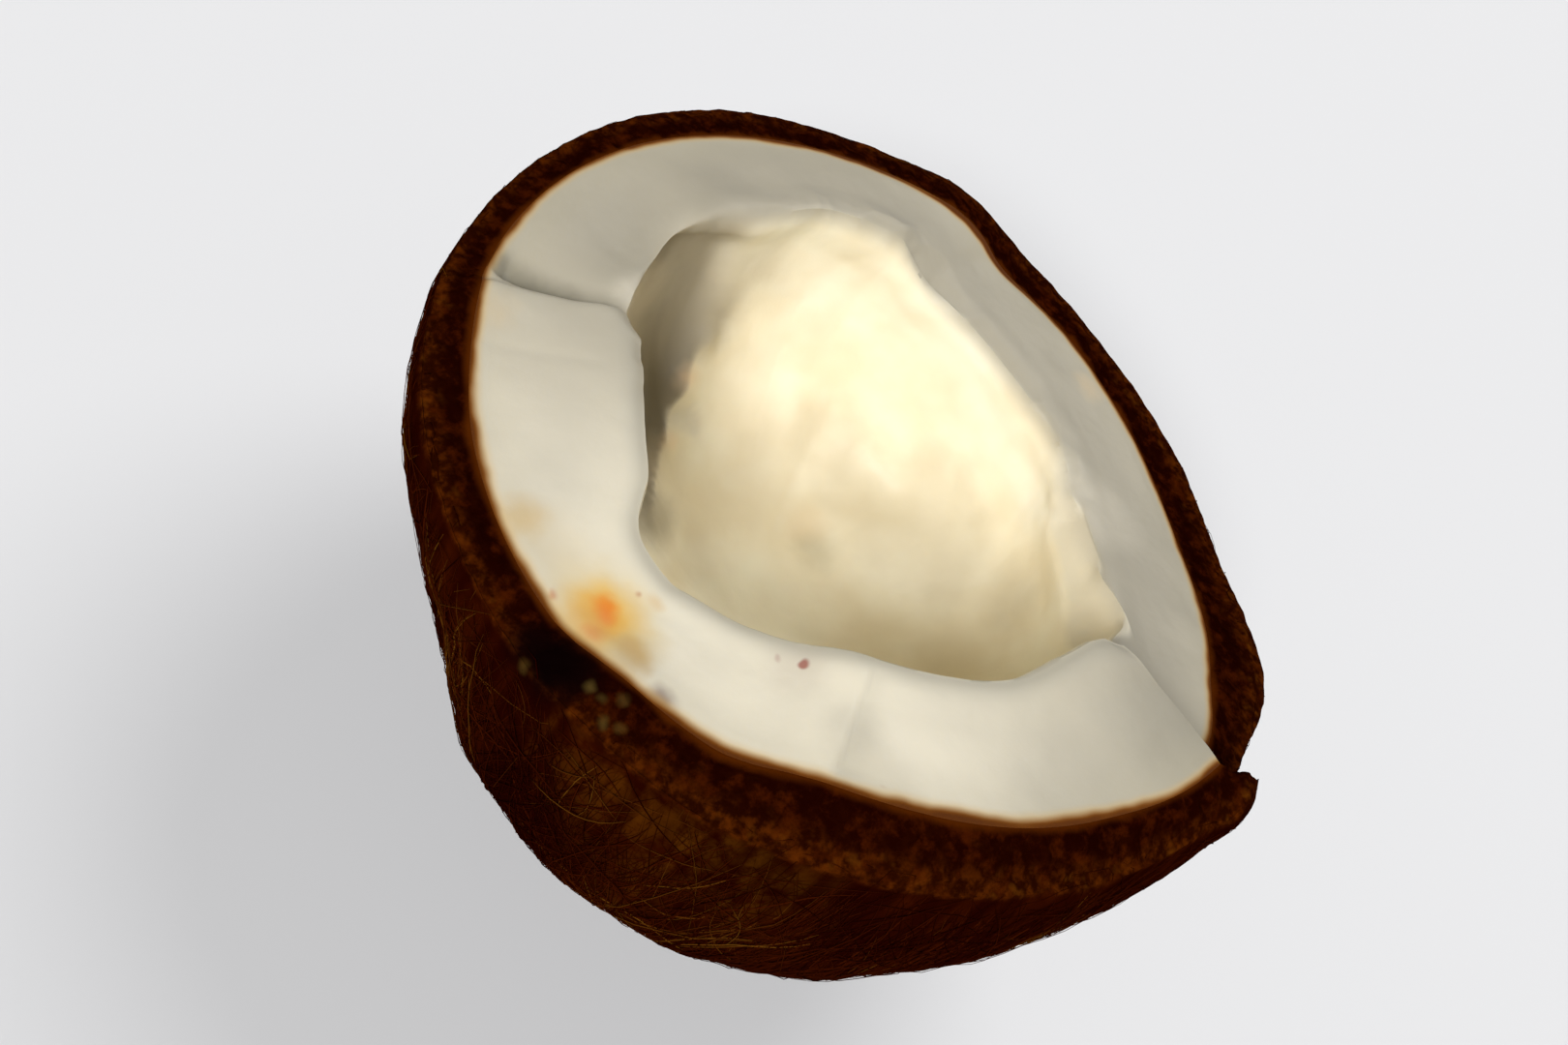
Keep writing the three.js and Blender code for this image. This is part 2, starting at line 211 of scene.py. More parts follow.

# Stains on the flesh, and painted light and shade, each over those before it: place, inner and outer radius
# in mm, cover and colour.
STAINS_AND_PAINTED_SHADING = [
    # Painted shade on the near face, and a tan edge to the orange stain.
    ((-29.0, -32.0, 55.0), 2.0, 13.0, 0.15, (0.42, 0.385, 0.31)),
    ((-20.7, -41.0, 53.8), 1.0, 6.5, 0.45, (0.54, 0.45, 0.29)),
    ((-15.3, -41.6, 53.9), 1.0, 5.5, 0.3, (0.60, 0.47, 0.25)),
    ((14.8, -40.5, 61.6), 0.5, 5.0, 0.4, (0.38, 0.345, 0.27)),
    ((19.5, -43.0, 61.5), 0.5, 6.0, 0.3, (0.40, 0.36, 0.28)),
    ((6.4, -36.6, 59.4), 0.8, 4.5, 0.3, (0.48, 0.41, 0.33)),
    # The orange stain, with the tan smears and the small dots about it.
    ((-11.3, -43.6, 54.0), 1.5, 8.0, 0.55, (0.66, 0.52, 0.24)),
    ((-7.6, -44.6, 55.0), 0.5, 5.0, 0.6, (0.50, 0.34, 0.10)),
    ((-11.4, -43.8, 54.0), 1.0, 6.0, 0.95, (0.70, 0.42, 0.065)),
    ((-11.3, -44.0, 54.0), 0.3, 4.0, 0.7, (0.68, 0.28, 0.006)),
    ((-11.6, -42.6, 54.1), 0.1, 2.1, 0.8, (0.72, 0.17, 0.001)),
    ((-10.8, -45.6, 54.0), 0.1, 1.9, 0.65, (0.66, 0.20, 0.002)),
    ((-6.9, -44.9, 55.1), 0.3, 2.6, 0.6, (0.50, 0.29, 0.07)),
    ((-5.6, -46.3, 55.3), 0.3, 2.6, 0.6, (0.50, 0.30, 0.08)),
    ((-16.5, -44.7, 53.4), 0.1, 1.1, 0.8, (0.50, 0.17, 0.07)),
    ((-10.2, -39.4, 54.6), 0.1, 0.7, 0.7, (0.45, 0.22, 0.12)),
    ((-8.4, -38.7, 54.9), 0.1, 1.4, 0.4, (0.60, 0.38, 0.14)),
    ((-23.8, -40.2, 53.8), 0.5, 3.8, 0.8, (0.60, 0.42, 0.18)),
    # The dark red dot, and a fainter one beside it.
    ((7.0, -36.0, 59.6), 0.35, 0.95, 0.9, (0.33, 0.12, 0.09)),
    ((4.5, -36.3, 58.2), 0.1, 0.6, 0.5, (0.38, 0.2, 0.16)),
    # Painted light and shade along the lip and on the wall and floor of the hollow.
    ((-32.8, -6.5, 57.3), 0.5, 5.0, 0.7, (0.66, 0.60, 0.48)),
    ((-34.2, 5.0, 58.0), 1.0, 6.0, 0.4, (0.58, 0.52, 0.40)),
    ((-40.0, 3.3, 59.5), 1.0, 8.0, 0.3, (0.27, 0.245, 0.19)),
    ((-31.5, 12.6, 57.5), 1.0, 6.0, 0.4, (0.60, 0.54, 0.42)),
    ((-36.3, 14.5, 58.5), 1.0, 8.0, 0.3, (0.27, 0.245, 0.19)),
    ((-34.7, 4.4, 44.0), 2.0, 11.5, 0.8, (0.72, 0.64, 0.49)),
    ((-23.8, 5.0, 26.2), 0.5, 5.5, 0.75, (0.78, 0.68, 0.50)),
    ((-29.4, 18.2, 39.8), 1.5, 8.0, 0.85, (0.38, 0.33, 0.235)),
    ((7.7, 29.8, 30.7), 2.0, 11.0, 0.45, (0.50, 0.43, 0.29)),
    ((16.2, 26.9, 32.6), 2.0, 9.0, 0.35, (0.50, 0.43, 0.29)),
    ((25.0, 19.4, 35.7), 1.0, 8.0, 0.4, (0.50, 0.43, 0.29)),
    ((-1.0, 27.5, 27.5), 2.0, 8.0, 0.3, (0.52, 0.45, 0.31)),
    ((18.5, 25.0, 47.0), 1.0, 9.0, 0.7, (1.0, 0.95, 0.80)),
    ((-17.6, 0.6, 22.8), 0.5, 6.0, 0.35, (0.30, 0.26, 0.18)),
    ((0.0, 4.0, 18.5), 3.0, 14.0, 0.5, (0.98, 0.92, 0.72)),
    ((-19.6, 20.8, 29.2), 2.0, 9.0, 0.5, (1.0, 0.88, 0.65)),
    # More painted light and shade on the face and the wall.
    ((25.5, 22.5, 53.5), 2.0, 9.0, 0.4, (0.62, 0.565, 0.45)),
    ((43.0, -13.5, 63.9), 1.0, 15.0, 0.6, (0.25, 0.228, 0.175)),
    ((38.0, -30.0, 62.3), 2.0, 14.0, 0.42, (0.27, 0.245, 0.19)),
    ((-24.9, -35.8, 54.5), 1.0, 7.0, 0.3, (0.42, 0.385, 0.31)),
    ((-28.5, 22.0, 47.0), 1.0, 9.0, 0.45, (0.50, 0.43, 0.30)),
    # Painted shade along the long crease.
    ((-46.2, -15.4, 55.0), 0.3, 2.4, 0.6, (0.15, 0.135, 0.10)),
    ((-44.8, -14.8, 55.2), 0.3, 2.4, 0.45, (0.15, 0.135, 0.10)),
    ((-43.4, -14.2, 55.4), 0.3, 2.4, 0.4, (0.15, 0.135, 0.10)),
    ((-42.0, -13.6, 55.6), 0.3, 2.3, 0.35, (0.15, 0.135, 0.10)),
    ((-40.6, -13.1, 55.8), 0.3, 2.2, 0.35, (0.15, 0.135, 0.10)),
    ((-39.2, -12.6, 56.0), 0.3, 2.1, 0.3, (0.15, 0.135, 0.10)),
    ((-37.8, -12.1, 56.2), 0.3, 2.0, 0.3, (0.15, 0.135, 0.10)),
    # Tan painted shade in the hollow, then marks on the hollow's wall, on the face and on the hollow's
    # floor.
    ((-9.8, 21.8, 24.5), 3.0, 13.0, 0.35, (0.60, 0.50, 0.33)),
    ((-7.2, 29.7, 28.5), 2.0, 9.0, 0.45, (0.52, 0.43, 0.27)),
    ((0.0, 25.5, 25.5), 2.0, 9.0, 0.4, (0.50, 0.42, 0.27)),
    ((8.5, 24.5, 26.0), 2.0, 10.0, 0.45, (0.50, 0.42, 0.27)),
    ((17.5, 22.0, 28.5), 1.0, 8.0, 0.45, (0.52, 0.44, 0.29)),
    ((-17.8, 1.0, 22.8), 1.0, 6.0, 0.5, (0.42, 0.36, 0.24)),
    ((-26.6, 15.0, 32.5), 0.3, 3.0, 0.5, (0.90, 0.66, 0.40)),
    ((-23.0, 9.8, 26.2), 0.3, 2.5, 0.4, (0.90, 0.68, 0.44)),
    ((-42.0, -23.0, 56.1), 0.5, 4.0, 0.5, (0.58, 0.45, 0.27)),
    ((15.6, 43.0, 53.9), 0.5, 3.5, 0.6, (0.56, 0.43, 0.26)),
    ((-1.6, -47.9, 55.9), 0.3, 2.2, 0.9, (0.10, 0.03, 0.04)),
    ((19.7, -43.1, 61.6), 0.1, 0.5, 0.5, (0.45, 0.3, 0.2)),
    ((-1.5, 19.0, 21.8), 0.5, 4.5, 0.4, (0.66, 0.48, 0.25)),
    ((1.6, 17.2, 21.6), 0.5, 5.0, 0.4, (0.42, 0.38, 0.25)),
]
# Warmer patches on the outside of the shell, given as the stains are. They show in its texture, and
# each makes the fibre over it lighter by up to the warmth.
WARM_PATCHES = [
    ((6.0, -54.5, 50.0), 2.0, 13.0, 0.7, (0.075, 0.021, 0.001)),
    ((15.0, -53.5, 49.0), 3.0, 13.0, 0.7, (0.06, 0.019, 0.001)),
    ((-3.0, -54.5, 48.0), 2.0, 11.0, 0.6, (0.06, 0.015, 0.0008)),
    ((9.0, -54.0, 42.0), 4.0, 16.0, 0.5, (0.05, 0.014, 0.0008)),
]
FIBRE_WARMTH = 0.15
# Spots of mould on the broken shell, given as the stains are: three dark ones, then olive ones.
SHELL_SPOTS = [
    ((-14.2, -50.6, 52.6), 0.5, 4.0, 0.85, (0.003, 0.0006, 0.0006)),
    ((-11.2, -50.8, 53.2), 1.5, 4.8, 0.97, (0.002, 0.0005, 0.0005)),
    ((-8.6, -50.6, 53.9), 0.5, 3.4, 0.85, (0.003, 0.0006, 0.0006)),
    ((-13.7, -52.4, 51.5), 0.0, 1.0, 0.6, (0.055, 0.03, 0.006)),
    ((-7.5, -50.9, 54.1), 0.0, 1.1, 0.75, (0.075, 0.046, 0.011)),
    ((-6.0, -51.4, 54.4), 0.0, 0.9, 0.6, (0.06, 0.036, 0.008)),
    ((-4.4, -50.2, 55.1), 0.0, 1.1, 0.7, (0.075, 0.046, 0.011)),
    ((-4.5, -52.9, 54.0), 0.0, 1.0, 0.65, (0.07, 0.042, 0.009)),
    ((-2.8, -52.5, 54.3), 0.0, 1.0, 0.65, (0.07, 0.038, 0.008)),
]

# Studio: wide soft lights (name, azimuth, elevation and width in degrees, strength) and the sky.
LIGHTS = [
    ("key", 268, 35, 22, 3.32),
    ("fill", 80, 50, 40, 1.25),
]
FLOOR_SIZE = 6.0
FLOOR_COLOUR = (0.76, 0.76, 0.77, 1)
# The sky: pale at the horizon, up to the first height (sine of its elevation), dim from the second up.
SKY_HEIGHTS = (0.25, 0.6)
SKY_PALE = 0.6
SKY_DIM = 0.1


# ---------------------------------------------------------------- fields

PRIMES = np.array([73856093, 19349663, 83492791], np.int64)
HASH_SIZE = 2 ** 20


def hashed(cells, seed):
    """A random number from -1 to 1 for each whole-numbered cell (..., 3)."""
    key = (cells * PRIMES).sum(-1) + 7919 * seed
    key = (key ^ (key >> 13)) * 1274126177
    return ((key ^ (key >> 16)) % HASH_SIZE) / HASH_SIZE * 2 - 1


def noise(points, size, seed=0):
    """A smooth random field from -1 to 1 over points (..., 3), with lumps of the given size or sizes."""
    cell = points / np.asarray(size) + 31.7 * (seed + 1)
    base = np.floor(cell).astype(np.int64)
    part = cell - base
    part = part ** 3 * (part * (6 * part - 15) + 10)
    total = np.zeros(points.shape[:-1])
    for corner in itertools.product((0, 1), repeat=3):
        weight = np.where(np.array(corner) == 1, part, 1 - part).prod(-1)
        total += weight * hashed(base + np.array(corner), seed)
    return total


def flakes(points, size, seed=0):
    """A field of shallow bowls that meet in crisp ridges, like a flaked surface: 0 at the middle of each
    bowl, up to about 1 on the ridges."""
    cell = points / size + 17.3 * (seed + 1)
    base = np.floor(cell).astype(np.int64)
    nearest = np.full(points.shape[:-1], np.inf)
    for corner in itertools.product((-1, 0, 1), repeat=3):
        key = base + np.array(corner)
        shift = np.stack([hashed(key, seed + n) for n in (0, 1, 2)], -1)
        nearest = np.minimum(nearest, ((cell - (key + 0.5 + 0.45 * shift)) ** 2).sum(-1))
    return nearest


def octaves(points, size, seed=0, count=3):
    """Noise over several sizes, each half the last in size and height."""
    sizes = [np.asarray(size) / 2 ** n for n in range(count)]
    return sum(noise(points, s, seed + n) / 2 ** n for n, s in enumerate(sizes))


def relief(points, lumps, count=2):
    """Lumps laid over one another: each has its height and size or sizes in mm, and its seed."""
    return sum(high * MM * octaves(points, np.asarray(size) * MM, seed, count)
               for high, size, seed in lumps)


def flaked(points, bowls):
    """Flakes laid over one another: each has its depth and size in mm, and its seed."""
    return sum(deep * MM * flakes(points, size * MM, seed) for deep, size, seed in bowls)


def rise(value, low, high):
    """0 below low, 1 above high, smooth between; low may be the larger."""
    t = np.clip((value - low) / (high - low), 0, 1)
    return t * t * (3 - 2 * t)


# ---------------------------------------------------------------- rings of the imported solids

def packed_rings(name):
    """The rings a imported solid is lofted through, as cylindrical points (rings, columns, 3): azimuth in
    degrees, distance from the axis and height. Each pole is a ring of one repeated point."""
    mesh = bmesh.new()
    mesh.from_mesh(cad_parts[name].data)
    bmesh.ops.remove_doubles(mesh, verts=mesh.verts, dist=1e-6)
    poles = sorted(mesh.verts, key=lambda v: math.hypot(v.co.x, v.co.y))[:2]
    here = {min(poles, key=lambda v: v.co.z)}
    seen = set(here)
    layers = []
    while here:
        layers.append([v.co.copy() for v in here])
        here = {e.other_vert(v) for v in here for e in v.link_edges} - seen
        seen |= here
    mesh.free()
    rings = []
    for layer in layers[1:-1]:
        ring = np.array([(math.degrees(math.atan2(p.y, p.x)) % FULL_TURN, math.hypot(p.x, p.y), p.z)
                         for p in layer])
        ring = ring[np.argsort(ring[:, 0])]
        rings.append(aligned(ring, rings[-1]) if rings else ring)
    first, last = rings[0].copy(), rings[-1].copy()
    first[:, 1:] = 0, layers[0][0].z
    last[:, 1:] = 0, layers[-1][0].z
    return np.array([first, *rings, last])


def aligned(ring, before):
    """The ring turned by whole columns so that each of its points follows the same column as before."""
    def turned(shift):
        new = np.roll(ring, shift, axis=0).copy()
        new[:, 0] = before[:, 0] + (new[:, 0] - before[:, 0] + 180) % FULL_TURN - 180
        return new
    choices = [turned(shift) for shift in range(-4, 5)]
    return min(choices, key=lambda new: np.abs(new[:, 0] - before[:, 0]).sum())


def round_curve(azimuths, values, wanted):
    """Closed curves through values (rings, columns, 3) at the columns' azimuths, smooth and never beyond
    them, read at the wanted azimuths."""
    shift = np.array([FULL_TURN, 0, 0])
    x = np.concatenate([azimuths[-2:] - FULL_TURN, azimuths, azimuths[:2] + FULL_TURN])
    y = np.concatenate([values[:, -2:] - shift, values, values[:, :2] + shift], axis=1)
    step = np.diff(x)[None, :, None]
    slope = np.diff(y, axis=1) / step
    product = slope[:, :-1] * slope[:, 1:]
    mean = slope[:, :-1] + slope[:, 1:]
    inner = np.where(product > 0, 2 * product / np.where(product > 0, mean, 1), 0)
    tangent = np.concatenate([slope[:, :1], inner, slope[:, -1:]], axis=1)
    i = np.clip(np.searchsorted(x, wanted, side="right") - 1, 0, len(x) - 2)
    t = ((wanted - x[i]) / (x[i + 1] - x[i]))[None, :, None]
    span = step[:, i]
    gain = y[:, i + 1] - y[:, i]
    start, end = tangent[:, i] * span, tangent[:, i + 1] * span
    return y[:, i] + t * (start + t * (3 * gain - 2 * start - end + t * (start + end - 2 * gain)))


def down_curve(rings, count, mirror_start=False, mirror_end=False):
    """Count + 1 rows on smooth curves down the columns through the rings (rings, columns, 3), evenly
    spaced. A mirrored end is a pole, which the curves cross level."""
    ghost_start = 2 * rings[0] - rings[1]
    ghost_end = 2 * rings[-1] - rings[-2]
    if mirror_start:
        ghost_start = rings[1] * np.array([1, -1, 1])
    if mirror_end:
        ghost_end = rings[-2] * np.array([1, -1, 1])
    y = np.concatenate([ghost_start[None], rings, ghost_end[None]])
    gap = np.linalg.norm(np.diff(y[:, :, 1:], axis=0), axis=-1).mean(1)
    x = np.concatenate([[0], np.cumsum(gap)])
    slope = np.diff(y, axis=0) / gap[:, None, None]
    share = (gap[:-1] / (gap[:-1] + gap[1:]))[:, None, None]
    tangent = (1 - share) * slope[:-1] + share * slope[1:]
    wanted = np.linspace(x[1], x[-2], count + 1)
    i = np.clip(np.searchsorted(x, wanted, side="right") - 1, 1, len(x) - 3)
    t = ((wanted - x[i]) / gap[i])[:, None, None]
    span = gap[i][:, None, None]
    gain = y[i + 1] - y[i]
    start, end = tangent[i - 1] * span, tangent[i] * span
    return y[i] + t * (start + t * (3 * gain - 2 * start - end + t * (start + end - 2 * gain)))


def cartesian(cylindrical):
    """Cylindrical points (azimuth in degrees, distance from the axis, height) as x, y and z."""
    turn = np.radians(cylindrical[..., 0])
    radius = cylindrical[..., 1]
    return np.stack([radius * np.cos(turn), radius * np.sin(turn), cylindrical[..., 2]], -1)


def normals(grid):
    """Outward unit normals of a grid (rows, columns, 3) that is closed round its columns."""
    across = np.roll(grid, -1, axis=1) - np.roll(grid, 1, axis=1)
    down = np.gradient(grid, axis=0)
    normal = np.cross(across, down)
    size = np.linalg.norm(normal, axis=-1, keepdims=True)
    return normal / np.maximum(size, 1e-12)


# ---------------------------------------------------------------- meshes

def skin(name, grid, fields):
    """A closed mesh through a grid (rows, columns, 3) whose first and last rows are poles, with a float
    attribute for each field (rows, columns)."""
    rows, columns = grid.shape[:2]
    points = np.concatenate([grid[0, :1], grid[1:-1].reshape(-1, 3), grid[-1, :1]])
    last = len(points) - 1
    side = np.arange(columns)
    following = (side + 1) % columns
    faces = []
    for row in range(rows - 3):
        here = 1 + row * columns
        below = here + columns
        faces.append(np.stack([here + side, here + following, below + following, below + side], 1))
    quads = np.concatenate(faces).tolist()
    top = 1 + (rows - 3) * columns
    fan_first = np.stack([np.zeros(columns, int), 1 + following, 1 + side], 1).tolist()
    fan_last = np.stack([top + side, top + following, np.full(columns, last)], 1).tolist()
    mesh = bpy.data.meshes.new(name)
    mesh.from_pydata(points.tolist(), [], quads + fan_first + fan_last)
    for key, field in fields.items():
        values = np.concatenate([field[0, :1], field[1:-1].ravel(), field[-1, :1]])
        attribute = mesh.attributes.new(key, "FLOAT", "POINT")
        attribute.data.foreach_set("value", values.astype(np.float32))
    mesh.shade_smooth()
    mesh.set_sharp_from_angle(angle=math.radians(CORNER_ANGLE))
    piece = bpy.data.objects.new(name, mesh)
    bpy.context.scene.collection.objects.link(piece)
    return piece


def lengths_down(grid):
    """How far each point lies from the first row, along its column."""
    steps = np.linalg.norm(np.diff(grid, axis=0), axis=2)
    return np.concatenate([np.zeros((1, grid.shape[1])), np.cumsum(steps, axis=0)])


def dips(grid, places, crisp=False):
    """The depth of round hollows, soft or with a crisp rim: each has its place, radius and depth in mm."""
    depth = np.zeros(grid.shape[:2])
    for (x, y, z), radius, deep in places:
        gap = np.linalg.norm(grid - np.array([x, y, z]) * MM, axis=2) / (radius * MM)
        depth += deep * MM * (np.maximum(1 - gap, 0) if crisp else 1 - rise(gap, 0, 1))
    return depth


def faceted(grid, facets):
    """The grid with flat facets broken off it, and how deep they are."""
    depth = np.zeros(grid.shape[:2])
    for point, facing, radius in facets:
        facing = np.array(facing) / np.linalg.norm(facing)
        offset = grid - np.array(point) * MM
        reach = 1 - rise(np.linalg.norm(offset, axis=2), 0.5 * radius * MM, radius * MM)
        removed = np.maximum(offset @ facing, 0) * reach
        grid = grid - removed[..., None] * facing
        depth += removed
    return grid, depth


# ---------------------------------------------------------------- shell

def kernel_edge(azimuths):
    """Distance from the axis and height of the flesh's outer edge, a little sunk, at the azimuths."""
    ring = packed_rings("kernel")[KERNEL_SEAM_RING:KERNEL_SEAM_RING + 1]
    wanted = ring[0, 0, 0] + np.arange(COLUMNS) * FULL_TURN / COLUMNS
    edge = round_curve(ring[0, :, 0], ring, wanted)[0]
    radius = np.interp(azimuths, edge[:, 0], edge[:, 1] - SEAM_OVERLAP, period=FULL_TURN)
    height = np.interp(azimuths, edge[:, 0], edge[:, 2], period=FULL_TURN)
    return np.stack([radius, height], -1)


def smoothed(grid, width, axis=1):
    """The grid averaged round its columns, or down them, with a bell of the given half width."""
    reach = np.arange(-3 * width, 3 * width + 1)
    weights = np.exp(-(reach / width) ** 2)
    weights /= weights.sum()
    return sum(w * np.roll(grid, shift, axis=axis) for w, shift in zip(weights, reach))


def shell_skin():
    """The shell's skin, and the rows of it that lie on the outside."""
    rings = packed_rings("shell")
    azimuths = rings[SHELL_SEAM_RING][:, 0]
    wanted = azimuths[0] + np.arange(COLUMNS) * FULL_TURN / COLUMNS
    rings = round_curve(azimuths, rings, wanted)
    outside = down_curve(rings[:SHELL_EDGE_RING + 1], SHELL_ROWS["outside"])
    broken = down_curve(rings[SHELL_EDGE_RING:SHELL_SEAM_RING + 1], SHELL_ROWS["break"])
    inside = down_curve(rings[SHELL_SEAM_RING:], SHELL_ROWS["inside"], mirror_end=True)
    edge = len(outside) - 1
    seam = edge + len(broken) - 1
    stacked = np.concatenate([outside, broken[1:], inside[1:]])
    rows = np.arange(len(stacked), dtype=float)[:, None] * np.ones(COLUMNS)
    # The inner edge closes up to the flesh.
    before, after = SEAM_CLOSING
    near_seam = np.where(rows < seam, rise(rows, seam - before, seam), 1 - rise(rows, seam, seam + after))
    flesh = kernel_edge(stacked[seam, :, 0])
    stacked[..., 1:] += near_seam[..., None] * (flesh - stacked[seam, :, 1:])
    grid = cartesian(stacked)
    calm = 1 - rise(rows, seam - SEAM_CALM[0], seam - SEAM_CALM[1])
    grid += calm[..., None] * (smoothed(grid, EDGE_SMOOTHING) - grid)
    corner, half_width, columns = WORN_CORNER
    from_corner = (stacked[..., :1] - corner + FULL_TURN / 2) % FULL_TURN - FULL_TURN / 2
    worn = calm[..., None] * np.exp(-(from_corner / half_width) ** 4)
    grid += worn * (smoothed(grid, columns) - grid)

    on_outside = 1 - rise(rows, edge - 1, edge)
    on_break = rise(rows, edge - 1, edge) * (1 - rise(rows, seam - 1, seam + 1))
    down = lengths_down(grid)
    from_seam = np.abs(down - down[seam])
    band = (down[seam] - down[edge]) * np.ones_like(down)
    azimuth = np.arctan2(grid[..., 1], grid[..., 0])
    ring = np.stack([np.cos(azimuth), np.sin(azimuth)], -1) * PATTERN_RADIUS
    along = np.concatenate([ring, grid[..., 2:]], -1)
    # Outside: swells, and grooves along the nut that stop short of the edge. The foot stays flat.
    foot = rise(grid[..., 2], 0.1 * MM, 3 * MM)
    grooves = relief(along, SHELL_GROOVES, 1) * rise(edge - rows, 2, 14)
    height = foot * on_outside * (relief(grid, SHELL_SWELL) + grooves)
    # The break: splinters across it, lumps and flakes, calmer towards the outer edge.
    splinter = np.concatenate([ring, from_seam[..., None]], -1)
    torn = relief(splinter, BREAK_SPLINTERS) + relief(grid, BREAK_LUMPS) + flaked(grid, BREAK_FLAKES)
    torn *= 1 - 0.7 * rise(from_seam / band, 0.7, 1.0)
    height += on_break * rise(from_seam, 0, 1.0 * MM) * (torn - BREAK_SINK)
    # The outer edge runs in and out a little, alike on both sides of its corner.
    near_edge = np.exp(-((rows - edge) / 4.0) ** 2)
    level = np.concatenate([ring, 0 * grid[..., 2:]], -1)
    height += near_edge * relief(level, SHELL_EDGE, 3)
    height = np.where(rows > seam - 1.5, 0, height)
    streak = relief(along, SHELL_STREAKS, 1) / MM
    grid = grid + normals(grid) * height[..., None]
    for place, radius, push in KNOB:
        share = 1 - rise(np.linalg.norm(grid - np.array(place) * MM, axis=2), 0, radius * MM)
        grid += (calm * share)[..., None] * np.array(push) * MM
    grid[..., 2] = np.maximum(grid[..., 2], 0)
    from_seam = np.where(rows > seam, 0, from_seam)
    fields = {"on_break": on_break, "from_seam": from_seam / MM, "across": from_seam / band,
              "streak": 0.5 + 0.5 * streak}
    return skin("shell_skin", grid, fields), grid[:edge + FIBRE_ROWS_ON_BREAK]


# ---------------------------------------------------------------- fibre

def strand_mesh(name, paths, radii, tones):
    """Thin three-sided strands along paths (strands, points, 3), thinner towards their ends."""
    count, length = paths.shape[:2]
    tangent = np.gradient(paths, axis=1)
    tangent /= np.maximum(np.linalg.norm(tangent, axis=2, keepdims=True), 1e-12)
    # Roughly the way the shell faces: away from a point inside the half.
    outward = paths * np.array([1, 1, 0.6]) - np.array([0, 0, 25 * MM])
    side = np.cross(tangent, outward)
    side /= np.maximum(np.linalg.norm(side, axis=2, keepdims=True), 1e-12)
    up = np.cross(side, tangent)
    t = np.linspace(-1, 1, length)
    girth = radii[:, None] * (1 - 0.75 * np.abs(t) ** 3)
    turns = np.radians([90, 210, 330])
    points = paths[:, :, None] + girth[:, :, None, None] * (
        side[:, :, None] * np.cos(turns)[:, None] + up[:, :, None] * np.sin(turns)[:, None])
    points[..., 2] = np.maximum(points[..., 2], 0)
    index = np.arange(count * length * 3).reshape(count, length, 3)
    following = np.roll(index, -1, axis=2)
    quads = np.stack([index[:, :-1], following[:, :-1], following[:, 1:], index[:, 1:]], -1)
    caps = np.concatenate([index[:, 0, ::-1], index[:, -1]])
    mesh = bpy.data.meshes.new(name)
    mesh.from_pydata(points.reshape(-1, 3).tolist(), [],
                     quads[..., ::-1].reshape(-1, 4).tolist() + caps[:, ::-1].tolist())
    attribute = mesh.attributes.new("tone", "FLOAT", "POINT")
    attribute.data.foreach_set("value", np.repeat(tones, length * 3).astype(np.float32))
    mesh.shade_smooth()
    piece = bpy.data.objects.new(name, mesh)
    bpy.context.scene.collection.objects.link(piece)
    return piece


def read_grid(grid, row, column):
    """Points of a grid (rows, columns, n), closed round its columns, at fractional rows and columns."""
    row = np.clip(row, 0, len(grid) - 1.001)
    r, c = np.floor(row).astype(int), np.floor(column).astype(int)
    dr, dc = (row - r)[..., None], (column - c)[..., None]
    c, following = c % grid.shape[1], (c + 1) % grid.shape[1]
    here = grid[r, c] * (1 - dc) + grid[r, following] * dc
    below = grid[r + 1, c] * (1 - dc) + grid[r + 1, following] * dc
    return here * (1 - dr) + below * dr


def strand_paths(surface, rng, count, points, lengths, leans, lift):
    """Strands that wander over a surface: lengths and leans from the meridian are drawn from the given
    ranges; lift is how far their middles may stand off it."""
    spacing = np.linalg.norm(np.diff(surface, axis=0), axis=2).mean(1)
    spacing = np.append(spacing, spacing[-1])
    round_row = 2 * math.pi * np.hypot(surface[..., 0], surface[..., 1]).mean(1)
    area = spacing * round_row
    area[:FIBRE_FIRST_ROW] = 0
    row = np.searchsorted(np.cumsum(area) / area.sum(), rng.random(count)).astype(float)
    column = rng.random(count) * surface.shape[1]
    length = rng.uniform(*lengths, count)
    lean = np.where(rng.random(count) < leans[2], rng.uniform(-leans[1], leans[1], count),
                    rng.normal(0, leans[0], count))
    bend = rng.normal(0, FIBRE_BEND, count) / (points - 1)
    heading = lean + np.where(rng.random(count) < 0.5, 0, math.pi)
    rows, columns = [row], [column]
    step = length / (points - 1)
    for _ in range(points - 1):
        at = np.clip(row.astype(int), FIBRE_FIRST_ROW, len(surface) - 1)
        row = row + np.cos(heading) * step / spacing[at]
        column = column + np.sin(heading) * step / round_row[at] * surface.shape[1]
        heading = heading + bend + rng.normal(0, FIBRE_WANDER, count)
        rows.append(row)
        columns.append(column)
    rows, columns = np.stack(rows, 1), np.stack(columns, 1)
    # A strand that runs off the edge or over the foot is slid back whole; few may hang over the break.
    last = len(surface) - 1.2 - FIBRE_EDGE_SPREAD * rng.random(count) ** 0.5
    rows -= np.maximum(rows.max(1) - last, 0)[:, None]
    rows += np.maximum(FIBRE_FIRST_ROW - rows.min(1), 0)[:, None]
    t = np.linspace(0, 1, points)
    arch = np.sin(math.pi * t) ** 0.7
    stand_off = lift[0] * rng.random(count)[:, None] + lift[1] * rng.random(count)[:, None] ** 3 * arch
    place = read_grid(surface, rows, columns)
    normal = read_grid(normals(surface), rows, columns)
    normal /= np.maximum(np.linalg.norm(normal, axis=2, keepdims=True), 1e-12)
    return place + normal * stand_off[..., None]


